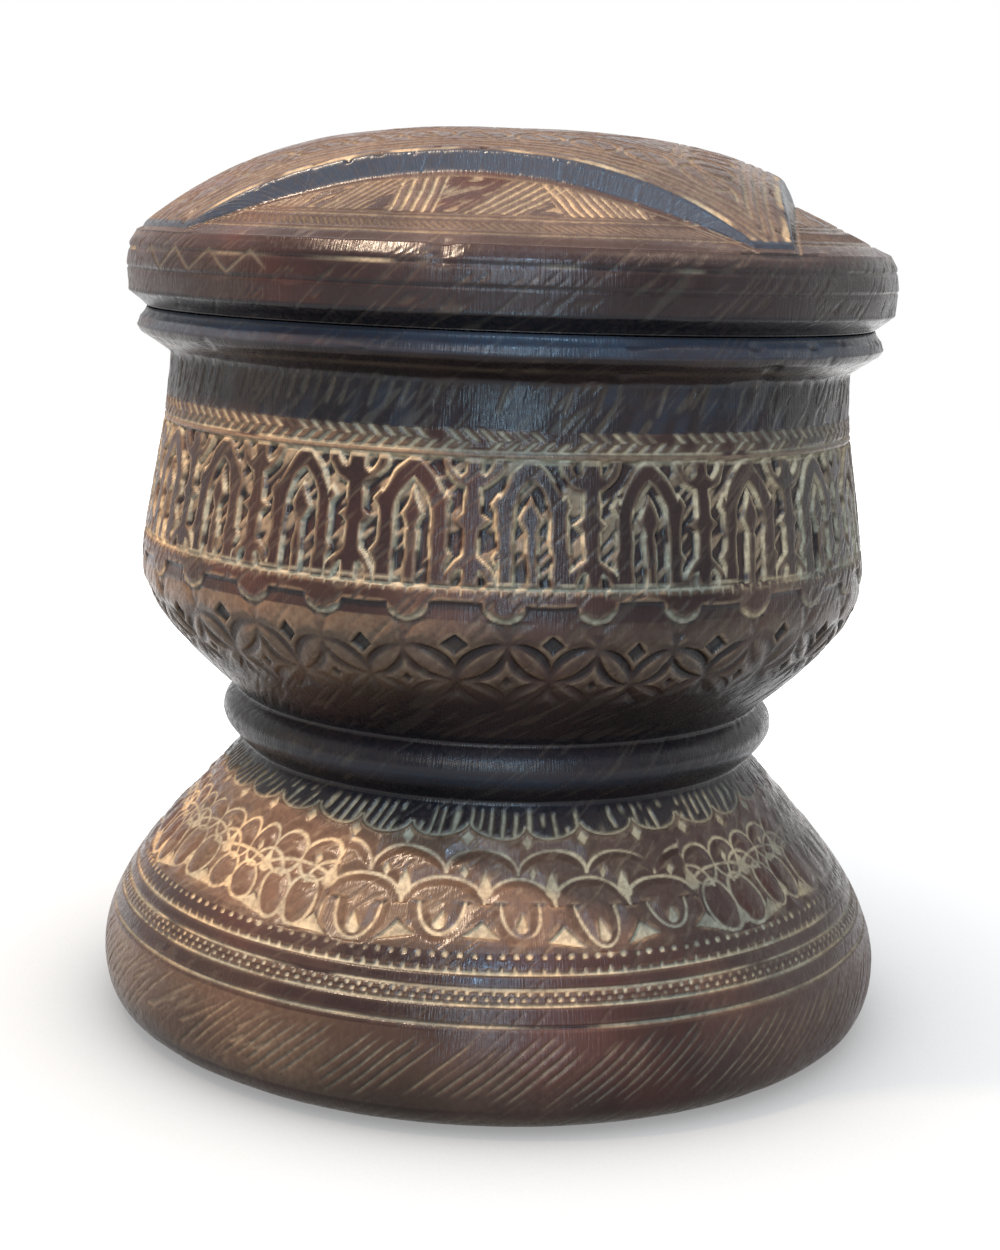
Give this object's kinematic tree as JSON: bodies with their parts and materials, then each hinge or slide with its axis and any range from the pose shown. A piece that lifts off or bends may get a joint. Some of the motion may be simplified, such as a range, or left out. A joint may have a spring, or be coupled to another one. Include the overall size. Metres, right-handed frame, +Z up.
{
  "type": "lidded vessel",
  "caption": "Footed round vessel of carved dark wood: flared foot, round collar, bellied cup with a beaded rim, and a domed lid with cut sides that lifts off.",
  "frame": {"origin": "on the floor under the vessel's axis, at the centre of the foot", "axes": "+Z up along the turned axis; the front, as pictured, faces -Y; +X to the right of that view"},
  "size_m": [0.16, 0.16, 0.1767],
  "materials": {
    "body_wood": "waxed dark brown hardwood, pale fill in the carved grooves",
    "lid_wood": "waxed dark brown hardwood, edges worn lighter"
  },
  "bodies": {
    "vessel": {"body": "body_wood"},
    "lid": {"lid": "lid_wood"}
  },
  "joints": [
    {"name": "lid_lift", "type": "slide", "parent": "vessel", "child": "lid", "axis": [0, 0, 1], "range_m": [0, 0.05]}
  ]
}
